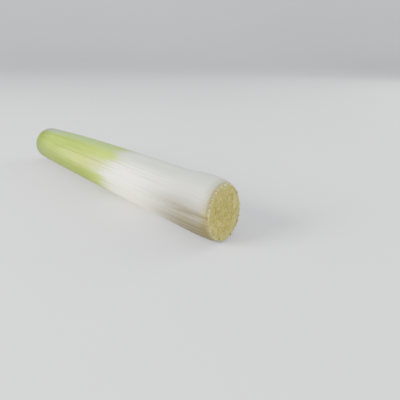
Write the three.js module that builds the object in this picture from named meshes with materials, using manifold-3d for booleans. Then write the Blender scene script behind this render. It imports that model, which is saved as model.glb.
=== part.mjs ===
// A trimmed leek, cut across at the root end and again at the green end, lying on its side.
// It is what a leek is made of: a solid root plate with the stubs of its trimmed roots, eight leaf
// sheaths that grow out of the plate as closed tubes one inside another, and the rolled heart leaf.
// Millimetres, +Z up. +X is the root end, and the underside lies on Z = 0.
// Every piece is first made on a straight shaft along X, then settle() gives it the leek's lie.

import * as THREE from 'three';
import { mergeVertices } from 'three/addons/utils/BufferGeometryUtils.js';
import Module from 'manifold-3d';

const wasm = await Module();
wasm.setup();

// Outline of the shaft
const SHAFT_LENGTH = 250;
const SHANK_RADIUS = 18.9;
const TOP_RADIUS = 15.9;
const TAPER_POWER = 2.8; // the shaft thins late, towards the green end
const BULB_SWELL = 1.0;
const BULB_PLACE = 18; // from the root cut
const BULB_REACH = 14;
const ROOT_ROUNDING = 1.4; // how far the skin turns in at the root cut
const ROOT_ROUNDING_REACH = 6;

// How it lies: bowed a little sideways, pressed flat underneath, both ends cut a little askew
const SIDEWAYS_BOW = 1.1;
const REST_HALF_ANGLE = THREE.MathUtils.degToRad(12); // half the width of the flat, seen from the axis
const ROOT_CUT_SLOPE = { y: -0.17, z: -0.12 };
const TOP_CUT_SLOPE = { y: 0.03, z: 0.05 };
const SLOPE_REACH = 45; // a slanted cut dies away over this length

// Leaf layers, as shares of the shaft's radius from the skin inwards
const SHEATH_WALLS = [0.075, 0.085, 0.09, 0.095, 0.09, 0.08, 0.07, 0.06];
const SHEATH_SIDES = [0, 36, 36, 30, 30, 24, 24, 20]; // the first has its ribs instead
const LAYER_GAP = 0.026;
const HEART_SIDES = 16;
const OVALNESS = 0.28; // inner leaves are folded flatter than outer ones
const OVAL_TURN = THREE.MathUtils.degToRad(25);
const TELESCOPE = 6; // a layer at the very axis would stand this far out of the top cut
const TELESCOPE_POWER = 1.5;
const HEART_TIP = 0.8;

// Ribs of the outer skin
const RIB_COUNT = 42;
const RIB_DEPTH = 0.25;

// Distances from the root cut at which a leaf's wall has a ring of corners
const SKIN_STATIONS = [0, 1.5, 4, 8, 13, 18, 28, 42, 90, 150, 205];
const LAYER_STATIONS = [1.5, 4, 8, 18, 42, 90, 150, 205];
const LEAST_SPAN = 1.5;

// Root plate
const PLATE_SIDE = 4; // its straight side, inside the outer sheath
const PLATE_RISE = 9; // its dome, which the inner sheaths stand on
const PLATE_SIDES = 36;
const PLATE_DOME_RINGS = [0.8, 0.6, 0.4, 0.2];
const FACE_CROWN = 0.6;
const FACE_RINGS = [0.5, 0.93];
const FACE_BEVEL = 0.5;

// Stubs of the trimmed roots, round the rim and scattered over the cut face
const RIM_STUBS = 30;
const RIM_STUB_RADIUS = 0.85;
const RIM_STUB_INSET = 1.15;
const RIM_STUB_STANDS = 1.1;
const RIM_STUB_LEAN = 0.35;
const FACE_STUBS = 24;
const FACE_STUB_RADIUS = 0.7;
const FACE_STUB_STANDS = 0.45;
const FACE_STUB_SPREAD = { inner: 0.22, outer: 0.8 };
const STUB_SIDES = 6;
const STUB_DEPTH = 2; // sunk this far into the plate
const STUB_TAPER = 0.8;
const STUB_JITTER = 0.25;
const MERGE_DISTANCE = 1e-3;
const GOLDEN_ANGLE = Math.PI * (3 - Math.sqrt(5));
const RANDOM_SEED = 11;

const HALF_LENGTH = SHAFT_LENGTH / 2;

// Radius of the skin at a distance from the root cut
function shaftRadius(distance) {
  const along = Math.max(distance, 0) / SHAFT_LENGTH;
  const taper = SHANK_RADIUS - (SHANK_RADIUS - TOP_RADIUS) * along ** TAPER_POWER;
  const bulb = BULB_SWELL * Math.exp(-(((distance - BULB_PLACE) / BULB_REACH) ** 2));
  const rounding = ROOT_ROUNDING * Math.max(0, 1 - distance / ROOT_ROUNDING_REACH) ** 2;
  return taper + bulb - rounding;
}

// Height of the axis above the surface: behind the bulb the underside is one straight flat
function axisHeight(distance) {
  return shaftRadius(Math.max(distance, BULB_PLACE)) * Math.cos(REST_HALF_ANGLE);
}

// A point of the straight shaft. share runs from 0 on the axis to 1 on the skin.
function shaftPoint(distance, share, angle, relief = 0) {
  const oval = 1 + OVALNESS * (1 - share) ** 2 * Math.cos(2 * (angle - OVAL_TURN));
  const radius = shaftRadius(distance) * share * oval - relief;
  return new THREE.Vector3(HALF_LENGTH - distance, radius * Math.cos(angle), radius * Math.sin(angle));
}

function ring(distance, share, angles, reliefs = []) {
  return angles.map((angle, i) => shaftPoint(distance, share, angle, reliefs[i] ?? 0));
}

function evenAngles(count) {
  return Array.from({ length: count }, (_, i) => (2 * Math.PI * (i + 0.5)) / count);
}

// Triangles between two neighbouring rings, facing away from the shaft where the second is nearer the top
function bandFaces(first, second, count) {
  const faces = [];
  for (let i = 0; i < count; i++) {
    const next = (i + 1) % count;
    faces.push(first + i, second + i, second + next, first + i, second + next, first + next);
  }
  return faces;
}

function geometryOf(points, faces) {
  const geometry = new THREE.BufferGeometry().setFromPoints(points);
  geometry.setIndex(faces);
  return geometry;
}

// A tube with a wall: its rings run down the outside, back up the inside and round to the start
function tubeGeometry(rings) {
  const count = rings[0].length;
  const faces = rings.flatMap((_, i) => bandFaces(i * count, ((i + 1) % rings.length) * count, count));
  return geometryOf(rings.flat(), faces);
}

// A solid body whose rings run from a point at its root end to a point at its top end
function spindleGeometry(rootPoint, rings, topPoint) {
  const count = rings[0].length;
  const rootIndex = rings.length * count;
  const topIndex = rootIndex + 1;
  const lastRing = rootIndex - count;
  const faces = rings.slice(1).flatMap((_, i) => bandFaces(i * count, (i + 1) * count, count));
  for (let i = 0; i < count; i++) {
    const next = (i + 1) % count;
    faces.push(rootIndex, i, next, topIndex, lastRing + next, lastRing + i);
  }
  return geometryOf([...rings.flat(), rootPoint, topPoint], faces);
}

// Share of the slope of a slanted cut that is left at a distance from it
function slopeLeft(distance) {
  return THREE.MathUtils.clamp(1 - distance / SLOPE_REACH, 0, 1) ** 2;
}

// Moves a straight piece to where it lies on the settled leek
function settle(geometry) {
  const corners = geometry.attributes.position;
  const corner = new THREE.Vector3();
  for (let i = 0; i < corners.count; i++) {
    corner.fromBufferAttribute(corners, i);
    const distance = HALF_LENGTH - corner.x;
    const along = distance / SHAFT_LENGTH;
    const rootSlope = ROOT_CUT_SLOPE.y * corner.y + ROOT_CUT_SLOPE.z * corner.z;
    const topSlope = TOP_CUT_SLOPE.y * corner.y + TOP_CUT_SLOPE.z * corner.z;
    corner.x += rootSlope * slopeLeft(Math.max(distance, 0));
    corner.x += topSlope * slopeLeft(Math.max(SHAFT_LENGTH - distance, 0));
    corner.y -= SIDEWAYS_BOW * 4 * along * (1 - along);
    corner.z = Math.max(corner.z + axisHeight(distance), 0);
    corners.setXYZ(i, corner.x, corner.y, corner.z);
  }
  geometry.computeVertexNormals();
  return geometry;
}

// How far past the top cut a layer stands, by its share of the radius
function topReach(share) {
  return SHAFT_LENGTH + TELESCOPE * (1 - share) ** TELESCOPE_POWER;
}

const plateShare = 1 - SHEATH_WALLS[0] - LAYER_GAP;

// Distance from the root cut to the dome of the root plate
function domeDistance(share) {
  return PLATE_SIDE + PLATE_RISE * (1 - (share / plateShare) ** 2);
}

// The outermost sheath: ribbed, and the only one that reaches the root cut, as the ring round the plate
function skinSheath() {
  const ribArc = 2 * Math.PI - 2 * REST_HALF_ANGLE;
  const start = REST_HALF_ANGLE - Math.PI / 2;
  const steps = 2 * RIB_COUNT;
  const angles = Array.from({ length: steps + 1 }, (_, i) => start + (ribArc * i) / steps);
  const reliefs = angles.map((_, i) => (i % 2) * RIB_DEPTH);
  const innerShare = 1 - SHEATH_WALLS[0];
  const outside = [...SKIN_STATIONS, SHAFT_LENGTH].map((d) => ring(d, 1, angles, reliefs));
  const inside = [0, ...LAYER_STATIONS, SHAFT_LENGTH].map((d) => ring(d, innerShare, angles));
  return tubeGeometry([...outside, ...inside.reverse()]);
}

// A sheath inside the skin: it stands just clear of the plate's dome and reaches past the top cut
function innerSheath(outerShare, innerShare, sides) {
  const angles = evenAngles(sides);
  const clearance = LAYER_GAP * SHANK_RADIUS;
  const top = topReach((outerShare + innerShare) / 2);
  const wall = (share) => {
    const foot = domeDistance(share) + clearance;
    const stations = LAYER_STATIONS.filter((d) => d > foot + LEAST_SPAN);
    return [foot, ...stations, top].map((d) => ring(d, share, angles));
  };
  return tubeGeometry([...wall(outerShare), ...wall(innerShare).reverse()]);
}

function heartLeaf(share) {
  const angles = evenAngles(HEART_SIDES);
  const foot = domeDistance(0) + LAYER_GAP * SHANK_RADIUS;
  const top = topReach(share);
  const stations = [foot, ...LAYER_STATIONS.filter((d) => d > foot + LEAST_SPAN), top];
  const rings = stations.map((d) => ring(d, share, angles));
  return spindleGeometry(shaftPoint(foot, 0, 0), rings, shaftPoint(top + HEART_TIP, 0, 0));
}

// Where each root stub stands on the cut face: its place, size, height and outward lean
function rootStubs() {
  THREE.MathUtils.seededRandom(RANDOM_SEED);
  const vary = (value) => value * (1 + STUB_JITTER * (2 * THREE.MathUtils.seededRandom() - 1));
  const faceRadius = shaftRadius(0) * plateShare;
  const rim = Array.from({ length: RIM_STUBS }, (_, i) => ({
    angle: (2 * Math.PI * (i + vary(0.5))) / RIM_STUBS,
    reach: faceRadius - RIM_STUB_INSET,
    radius: vary(RIM_STUB_RADIUS),
    stands: vary(RIM_STUB_STANDS),
    lean: RIM_STUB_LEAN,
  }));
  const { inner, outer } = FACE_STUB_SPREAD;
  const face = Array.from({ length: FACE_STUBS }, (_, i) => ({
    angle: i * GOLDEN_ANGLE,
    reach: faceRadius * Math.sqrt(inner ** 2 + (outer ** 2 - inner ** 2) * ((i + 0.5) / FACE_STUBS)),
    radius: vary(FACE_STUB_RADIUS),
    stands: vary(FACE_STUB_STANDS) + FACE_CROWN,
    lean: 0,
  }));
  return [...rim, ...face];
}

// One stub as a short tapered peg, its foot sunk in the plate
function stubGeometry({ angle, reach, radius, stands, lean }) {
  const length = stands + STUB_DEPTH;
  const peg = new THREE.CylinderGeometry(radius * STUB_TAPER, radius, length, STUB_SIDES);
  peg.translate(0, length / 2 - STUB_DEPTH, 0);
  peg.rotateZ(lean - Math.PI / 2);
  peg.translate(HALF_LENGTH, reach, 0);
  return peg.rotateX(angle);
}

function toSolid(geometry) {
  const bare = geometry.clone();
  bare.deleteAttribute('normal');
  bare.deleteAttribute('uv');
  const merged = mergeVertices(bare, MERGE_DISTANCE);
  const vertProperties = new Float32Array(merged.attributes.position.array);
  const triVerts = new Uint32Array(merged.index.array);
  return new wasm.Manifold(new wasm.Mesh({ numProp: 3, vertProperties, triVerts }));
}

function fromSolid(solid) {
  const mesh = solid.getMesh();
  const geometry = new THREE.BufferGeometry();
  geometry.setAttribute('position', new THREE.BufferAttribute(new Float32Array(mesh.vertProperties), 3));
  geometry.setIndex(new THREE.BufferAttribute(new Uint32Array(mesh.triVerts), 1));
  return geometry;
}

function rootPlate() {
  const angles = evenAngles(PLATE_SIDES);
  const crown = (part) => -FACE_CROWN * (1 - part ** 2);
  const face = FACE_RINGS.map((part) => ring(crown(part), plateShare * part, angles));
  const side = [FACE_BEVEL, PLATE_SIDE].map((d) => ring(d, plateShare, angles));
  const dome = PLATE_DOME_RINGS.map((part) => {
    const share = plateShare * part;
    return ring(domeDistance(share), share, angles);
  });
  const apex = shaftPoint(domeDistance(0), 0, 0);
  const plate = spindleGeometry(shaftPoint(-FACE_CROWN, 0, 0), [...face, ...side, ...dome], apex);
  const joined = rootStubs().reduce((solid, stub) => solid.add(toSolid(stubGeometry(stub))), toSolid(plate));
  return fromSolid(joined);
}

// Colours from the white shank, the pale inner leaves and the tan cut face
const skinMaterial = new THREE.MeshStandardMaterial({ color: 0xdde5c2, roughness: 0.42, metalness: 0 });
const layerMaterial = new THREE.MeshStandardMaterial({ color: 0xdce6a8, roughness: 0.5, metalness: 0 });
const heartMaterial = new THREE.MeshStandardMaterial({ color: 0xe9e59a, roughness: 0.5, metalness: 0 });
const rootMaterial = new THREE.MeshStandardMaterial({ color: 0xb3a866, roughness: 0.85, metalness: 0 });

function addPiece(group, name, geometry, material) {
  const piece = new THREE.Mesh(settle(geometry), material);
  piece.name = name;
  group.add(piece);
}

const leek = new THREE.Group();
addPiece(leek, 'root_plate', rootPlate(), rootMaterial);
addPiece(leek, 'sheath_1', skinSheath(), skinMaterial);
let share = plateShare;
for (let i = 1; i < SHEATH_WALLS.length; i++) {
  const innerShare = share - SHEATH_WALLS[i];
  addPiece(leek, `sheath_${i + 1}`, innerSheath(share, innerShare, SHEATH_SIDES[i]), layerMaterial);
  share = innerShare - LAYER_GAP;
}
addPiece(leek, 'heart_leaf', heartLeaf(share), heartMaterial);

// The origin is under the middle of the whole leek
const middle = new THREE.Box3().setFromObject(leek, true).getCenter(new THREE.Vector3());
leek.position.set(-middle.x, -middle.y, 0);

export default leek;
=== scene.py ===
"""A trimmed leek on a pale floor, dressed round its fixed frame.

Every leaf is a closed tube that follows the same shaft: a distance from the root cut, a share of the
radius and an angle round the axis give any point of it. Metres, +Z up, +X towards the root end.
"""

import logging
import math
from dataclasses import dataclass
from enum import Enum
from functools import cached_property
from typing import Any

import bpy
import numpy as np
from mathutils import Matrix, Vector


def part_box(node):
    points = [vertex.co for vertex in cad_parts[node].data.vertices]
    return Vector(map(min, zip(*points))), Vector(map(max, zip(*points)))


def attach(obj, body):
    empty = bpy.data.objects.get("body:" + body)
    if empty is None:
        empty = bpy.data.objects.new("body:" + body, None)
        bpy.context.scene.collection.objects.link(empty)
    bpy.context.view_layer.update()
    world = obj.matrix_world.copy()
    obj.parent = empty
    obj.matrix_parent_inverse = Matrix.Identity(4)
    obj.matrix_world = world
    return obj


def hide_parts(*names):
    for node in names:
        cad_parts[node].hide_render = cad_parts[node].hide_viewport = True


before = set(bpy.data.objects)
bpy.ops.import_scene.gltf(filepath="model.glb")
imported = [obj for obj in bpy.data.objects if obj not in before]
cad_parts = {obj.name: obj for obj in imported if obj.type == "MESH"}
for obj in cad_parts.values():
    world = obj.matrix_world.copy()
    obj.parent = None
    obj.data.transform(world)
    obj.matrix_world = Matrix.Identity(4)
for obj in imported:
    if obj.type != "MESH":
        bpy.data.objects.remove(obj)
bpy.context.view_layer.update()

MM = 0.001
SHARP_ANGLE = math.radians(50)
NOISE_MIDDLE = 0.5
SCREEN_WHITE = 255
MIX_FIRST = 6
MIX_SECOND = 7
MIX_RESULT = 2
Array = np.ndarray
Corners = tuple[int, ...]
Colour = tuple[float, float, float]
Span = tuple[float, float]
Cloud = tuple[float, float]
Scale = tuple[float, float, float]
WHOLE: Span = (0.0, 1.0)
log = logging.getLogger("leek")


def colour(red: int, green: int, blue: int) -> Colour:
    """Turns a screen colour into the linear colour that a shader works in.

    Args:
        red: Screen value of red, from 0 to 255.
        green: Screen value of green.
        blue: Screen value of blue.

    Returns:
        The linear colour.
    """

    def linear(level: float) -> float:
        """The linear value of one screen level from 0 to 1, by the sRGB curve."""
        return level / 12.92 if level <= 0.04045 else ((level + 0.055) / 1.055) ** 2.4

    return linear(red / SCREEN_WHITE), linear(green / SCREEN_WHITE), linear(blue / SCREEN_WHITE)


def blend(share: float, first: Colour, second: Colour) -> Colour:
    """A plain colour between two: the first where share is 0, the second where it is 1."""
    red, green, blue = (low + (high - low) * share for low, high in zip(first, second))
    return red, green, blue


def smooth_step(low: float, high: float, values: Array) -> Array:
    """Rises smoothly from 0 at low to 1 at high, or falls where low is the larger.

    Args:
        low: Where the result is 0.
        high: Where the result is 1.
        values: The numbers to look up.

    Returns:
        Numbers from 0 to 1.
    """
    part = np.clip((values - low) / (high - low), 0.0, 1.0)
    return part * part * (3.0 - 2.0 * part)


def trough(turn: Array) -> Array:
    """How low a wave lies at each phase, from 0 on its crests to 1 in its troughs."""
    return 0.5 - 0.5 * np.cos(turn)


def circle(count: int) -> Array:
    """Angles of evenly spaced points round the axis."""
    return np.linspace(0.0, 2.0 * math.pi, count, endpoint=False)


def turn_between(angle: Array, line: float) -> Array:
    """Unsigned angle between points round the axis and a line along the shaft."""
    return np.abs((angle - line + math.pi) % (2.0 * math.pi) - math.pi)


@dataclass(frozen=True)
class Ripple:
    """Soft unevenness over the shaft, as a sum of waves with seeded phases.

    Each wave goes round the shaft a whole number of times, between the two given by lobes, and changes
    along it over the wavelength or more slowly. An edge lies at one distance and needs no wavelength.
    """

    seed: int
    lobes: tuple[int, int]
    wavelength: float = 1.0
    waves: int = 7

    def at(self, angle: Array, distance: Array) -> Array:
        """The unevenness at points of the shaft.

        Args:
            angle: Angles round the axis.
            distance: Distances from the root cut.

        Returns:
            Values of about -1 to 1.
        """
        draw = np.random.default_rng(self.seed)
        total = np.zeros(np.broadcast(angle, distance).shape)
        for _ in range(self.waves):
            lobes = int(draw.integers(self.lobes[0], self.lobes[1] + 1))
            pace = draw.uniform(-1.0, 1.0) * 2.0 * math.pi / self.wavelength
            total += np.cos(lobes * angle + pace * distance + draw.uniform(0.0, 2.0 * math.pi))
        return total / math.sqrt(2.0 * self.waves)

    def at_round(self, angle: Array) -> Array:
        """The unevenness round an edge, the same at any distance."""
        return self.at(angle, np.zeros_like(angle))

    def height_at(self, angle: Array, distance: Array) -> Array:
        """The unevenness as a height from 0 to 1, by angle and distance from the root cut."""
        return 0.5 + 0.5 * np.clip(self.at(angle, distance), -1.0, 1.0)

    def height_round(self, angle: Array) -> Array:
        """The unevenness round an edge as a height from 0 to 1."""
        return self.height_at(angle, np.zeros_like(angle))


@dataclass(frozen=True)
class ShaftForm:
    """The leek's outline and lie, with the driving sizes of the frame's solids."""

    # The skin's outline, with its bulb and the rounding in at the root cut
    length: float = 250 * MM
    shank_radius: float = 18.9 * MM
    top_radius: float = 15.9 * MM
    taper_power: float = 2.8
    bulb_swell: float = 1.0 * MM
    bulb_place: float = 18 * MM
    bulb_reach: float = 14 * MM
    root_rounding: float = 1.4 * MM
    root_rounding_reach: float = 6 * MM

    # How it lies: bowed, on a flat strip, between two slanted cuts
    sideways_bow: float = 1.1 * MM
    rest_half_angle: float = math.radians(12)
    root_slope: Span = (-0.17, -0.12)
    top_slope: Span = (0.03, 0.05)
    slope_reach: float = 45 * MM

    # The leaves, of which the inner ones are slightly oval and stand out at the top, and the root plate
    ovalness: float = 0.28
    oval_turn: float = math.radians(25)
    telescope: float = 6 * MM
    telescope_power: float = 1.5
    heart_tip: float = 0.8 * MM
    sheath_walls: tuple[float, ...] = (0.075, 0.085, 0.09, 0.095, 0.09, 0.08, 0.07, 0.06)
    layer_gap: float = 0.026
    tuck: float = 0.008
    plate_side: float = 4 * MM
    plate_rise: float = 9 * MM

    # Places along the axis at which the shaft's widest points are looked for
    middle_steps: int = 251

    @property
    def plate_share(self) -> float:
        """Share of the radius that the root plate fills."""
        return 1.0 - self.sheath_walls[0] - self.layer_gap

    @property
    def heart_share(self) -> float:
        """Share of the radius that the heart leaf fills."""
        return 1.0 - sum(self.sheath_walls) - len(self.sheath_walls) * self.layer_gap

    def layers(self) -> list[tuple[float, float]]:
        """Gives each sheath its place, from the skin inwards.

        The solids keep a gap between them. Here each wall fills part of it, as the leaves lie close.

        Returns:
            The outer and inner share of each sheath.
        """
        shares = []
        outer = 1.0
        for wall in self.sheath_walls:
            shares.append((min(outer + self.tuck, 1.0), outer - wall - self.tuck))
            outer -= wall + self.layer_gap
        return shares

    def radius(self, distance: Array) -> Array:
        """Radius of the skin.

        Args:
            distance: Distances from the root cut.

        Returns:
            The radii there.
        """
        along = np.maximum(distance, 0.0) / self.length
        taper = self.shank_radius - (self.shank_radius - self.top_radius) * along**self.taper_power
        bulb = self.bulb_swell * np.exp(-(((distance - self.bulb_place) / self.bulb_reach) ** 2))
        rounding = np.maximum(0.0, 1.0 - distance / self.root_rounding_reach) ** 2
        return taper + bulb - self.root_rounding * rounding

    def axis_height(self, distance: Array) -> Array:
        """Height of the axis above the floor at distances from the root cut."""
        return self.radius(np.maximum(distance, self.bulb_place)) * math.cos(self.rest_half_angle)

    def bow(self, distance: Array) -> Array:
        """Sideways bow of the axis at distances from the root cut: a parabola, deepest in the middle."""
        from_middle = 2.0 * distance / self.length - 1.0
        return -self.sideways_bow * (1.0 - from_middle**2)

    def slope_left(self, distance: Array) -> Array:
        """Share of a slanted cut's slope that is left at a distance from that cut."""
        return np.clip(1.0 - np.maximum(distance, 0.0) / self.slope_reach, 0.0, 1.0) ** 2

    def top_reach(self, share: float) -> float:
        """Distance from the root cut at which a layer ends, by its share of the radius."""
        return self.length + self.telescope * (1.0 - share) ** self.telescope_power

    def dome(self, share: Array) -> Array:
        """Distance from the root cut to the root plate's dome, by the share of the radius."""
        return self.plate_side + self.plate_rise * (1.0 - (share / self.plate_share) ** 2)

    def foot(self, share: float) -> float:
        """Distance from the root cut to a leaf's foot, a gap above the dome, by its share of the radius."""
        return float(self.dome(np.array(share))) + self.layer_gap * self.shank_radius

    @cached_property
    def middle(self) -> tuple[float, float]:
        """Finds the frame's origin on the shaft from the frame's own solids.

        Returns:
            Where it lies along the shaft and across it.
        """
        tip = self.top_reach(self.heart_share) + self.heart_tip
        along = self.length / 2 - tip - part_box("heart_leaf")[0].x
        low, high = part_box("sheath_1")
        distance = np.linspace(0.0, self.length, self.middle_steps)
        left = np.max(self.bow(distance) + self.radius(distance))
        right = np.min(self.bow(distance) - self.radius(distance))
        return along, float(left + right - low.y - high.y) / 2

    def points(self, distance: Array, share: Array, angle: Array, relief: Array) -> Array:
        """Places points of the straight shaft on the settled leek.

        Args:
            distance: Distances from the root cut.
            share: Shares of the radius, 0 on the axis and 1 on the skin.
            angle: Angles round the axis, 0 at +Y and a quarter turn at +Z.
            relief: How far each point is sunk below that share.

        Returns:
            The points in the frame, one row each.
        """
        oval = 1.0 + self.ovalness * (1.0 - share) ** 2 * np.cos(2.0 * (angle - self.oval_turn))
        radius = self.radius(distance) * share * oval - relief
        across = radius * np.cos(angle)
        up = radius * np.sin(angle)
        root_left = self.slope_left(distance)
        top_left = self.slope_left(self.length - distance)
        slant = (self.root_slope[0] * across + self.root_slope[1] * up) * root_left
        slant = slant + (self.top_slope[0] * across + self.top_slope[1] * up) * top_left
        middle_x, middle_y = self.middle
        x = self.length / 2 - distance + slant - middle_x
        y = across + self.bow(distance) - middle_y
        z = np.maximum(up + self.axis_height(distance), 0.0)
        return np.stack([x, y, z], axis=-1)


FORM = ShaftForm()


@dataclass
class Grid:
    """Rings of points on the shaft, with what the finishes need to know at each point.

    Distance, share and angle place a point, and relief sinks it. The others are from 0 to 1: wall says how
    far inside its leaf the point lies, or that a root stub stands there, cut that it is on a cut, crease how
    dark the painted shadow of a crease is, or on the root plate where a stub's core and the painted shade
    round its foot lie, and vein where the lines of a leaf run.
    """

    distance: Array
    share: Array
    angle: Array
    relief: Array
    wall: Array
    cut: Array
    crease: Array
    vein: Array

    @classmethod
    def of(cls, distance: Array, share: Array, angle: Array) -> "Grid":
        """Makes a grid with one row for each ring.

        Args:
            distance: One distance for each ring.
            share: One share of the radius for each ring.
            angle: One angle for each point of a ring.

        Returns:
            The grid, without relief or marks.
        """
        rows, columns = np.meshgrid(distance, angle, indexing="ij")
        shares = np.repeat(share[:, None], len(angle), axis=1)
        blanks = {name: np.zeros_like(rows) for name in ("relief", "wall", "cut", "crease", "vein")}
        return cls(rows, shares, columns, **blanks)


class MeshMaker:
    """Turns grids of rings into Blender objects."""

    @staticmethod
    def band_faces(rings: int, count: int, closed: bool) -> Array:
        """Quads between neighbouring rings, facing outwards.

        Args:
            rings: Number of rings.
            count: Points in each ring.
            closed: Whether the last ring joins the first.

        Returns:
            One row of four corners for each quad.
        """
        pairs = rings if closed else rings - 1
        first = np.repeat(np.arange(pairs) * count, count)
        second = np.repeat(((np.arange(pairs) + 1) % rings) * count, count)
        here = np.tile(np.arange(count), pairs)
        following = (here + 1) % count
        return np.stack([first + here, second + here, second + following, first + following], axis=1)

    @staticmethod
    def fan_faces(pole: int, start: int, count: int, root_side: bool) -> list[Corners]:
        """Triangles from a pole to its ring.

        Args:
            pole: Index of the pole.
            start: Index of the ring's first point.
            count: Points in the ring.
            root_side: Whether the pole is at the root end of the ring.

        Returns:
            The triangles, facing away from the body.
        """
        steps = [(start + i, start + (i + 1) % count) for i in range(count)]
        return [(pole, here, after) if root_side else (pole, after, here) for here, after in steps]

    @staticmethod
    def make(name: str, points: Array, faces: list[Corners], marks: dict[str, Array]) -> bpy.types.Object:
        """Makes a smooth object that carries named marks on its points.

        Args:
            name: Name of the piece.
            points: One row for each point.
            faces: Corners of each face.
            marks: Numbers or vectors for each point, by name.

        Returns:
            The object, in the scene.
        """
        mesh = bpy.data.meshes.new(name)
        mesh.from_pydata(points.tolist(), [], faces)
        for mark, values in marks.items():
            kind, key = ("FLOAT_VECTOR", "vector") if values.ndim == 2 else ("FLOAT", "value")
            layer = mesh.attributes.new(mark, kind, "POINT")
            layer.data.foreach_set(key, values.astype(np.float32).ravel())
        mesh.shade_smooth()
        mesh.set_sharp_from_angle(angle=SHARP_ANGLE)
        mesh.validate()
        piece = bpy.data.objects.new(name, mesh)
        bpy.context.scene.collection.objects.link(piece)
        return piece

    @classmethod
    def from_grid(cls, name: str, grid: Grid, poles: Span | None = None) -> bpy.types.Object:
        """Makes a tube with a wall, or a solid body between two poles.

        Args:
            name: Name of the piece.
            grid: Its rings, from the root end. A tube's rings run back up its inside.
            poles: Distances of the two poles from the root cut, or None for a tube.

        Returns:
            The object.
        """
        rings, count = grid.distance.shape
        points = FORM.points(grid.distance, grid.share, grid.angle, grid.relief).reshape(-1, 3)
        place = np.stack([np.cos(grid.angle), np.sin(grid.angle), grid.distance], axis=-1).reshape(-1, 3)
        marks = {Mark.PLACE.value: place}
        for mark in (Mark.SHARE, Mark.WALL, Mark.CUT, Mark.CREASE, Mark.VEIN):
            marks[mark.value] = getattr(grid, mark.value).ravel()
        faces = [tuple(quad) for quad in cls.band_faces(rings, count, poles is None).tolist()]
        if poles is not None:
            zero = np.zeros(2)
            ends = FORM.points(np.array(poles), zero, zero, zero)
            points = np.vstack([points, ends])
            marks = {key: cls.with_ends(values, grid, key) for key, values in marks.items()}
            faces += cls.fan_faces(rings * count, 0, count, True)
            faces += cls.fan_faces(rings * count + 1, (rings - 1) * count, count, False)
        return cls.make(name, points, faces, marks)

    @staticmethod
    def with_ends(values: Array, grid: Grid, key: str) -> Array:
        """Adds the two poles' marks: each takes those of the ring next to it, on the axis.

        Args:
            values: The marks of the rings' points.
            grid: The rings.
            key: Name of the mark.

        Returns:
            The marks with two rows more.
        """
        count = grid.distance.shape[1]
        ends = np.stack([values[0], values[-count]])
        if key == Mark.SHARE.value:
            ends = np.zeros(2)
        if key == Mark.PLACE.value:
            ends[:, :2] = 0.0
        return np.concatenate([values, ends])


class Mark(Enum):
    """What is written on the points of a mesh for its finish to read: their place, and fields of the grid."""

    PLACE = "place"
    SHARE = "share"
    WALL = "wall"
    CUT = "cut"
    CREASE = "crease"
    VEIN = "vein"


class Value:
    """A number that varies over a surface. Arithmetic on it adds Math nodes to its material."""

    def __init__(self, shader: "Shader", socket: bpy.types.NodeSocket) -> None:
        """Wraps the output socket that gives the number."""
        self.shader = shader
        self.socket = socket

    def maths(self, operation: str, *terms: "Value | float") -> "Value":
        """Adds one Math node, by Blender's name of the operation, with its inputs in order."""
        return self.shader.value("ShaderNodeMath", {"operation": operation}, dict(enumerate(terms)))

    def __add__(self, other: "Value | float") -> "Value":
        """self + other."""
        return self.maths("ADD", self, other)

    def __radd__(self, other: float) -> "Value":
        """other + self."""
        return self.maths("ADD", other, self)

    def __sub__(self, other: "Value | float") -> "Value":
        """self - other."""
        return self.maths("SUBTRACT", self, other)

    def __rsub__(self, other: float) -> "Value":
        """other - self."""
        return self.maths("SUBTRACT", other, self)

    def __mul__(self, other: "Value | float") -> "Value":
        """self * other."""
        return self.maths("MULTIPLY", self, other)

    def __rmul__(self, other: float) -> "Value":
        """other * self."""
        return self.maths("MULTIPLY", other, self)

    def sway(self) -> "Value":
        """How far a noise lies above its middle, or below it."""
        return self - NOISE_MIDDLE

    def rise(self, low: float, high: float) -> "Value":
        """Rises smoothly from 0 where self is low to 1 where it is high.

        Args:
            low: Where the result is 0. It may be the larger of the two.
            high: Where the result is 1.

        Returns:
            A number from 0 to 1.
        """
        sockets = {"Value": self, "From Min": low, "From Max": high, "To Min": 0.0, "To Max": 1.0}
        if low > high:
            sockets.update({"From Min": high, "From Max": low, "To Min": 1.0, "To Max": 0.0})
        return self.shader.value("ShaderNodeMapRange", {"interpolation_type": "SMOOTHSTEP"}, sockets)


Input = Value | bpy.types.NodeSocket | float | tuple[float, ...]


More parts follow.
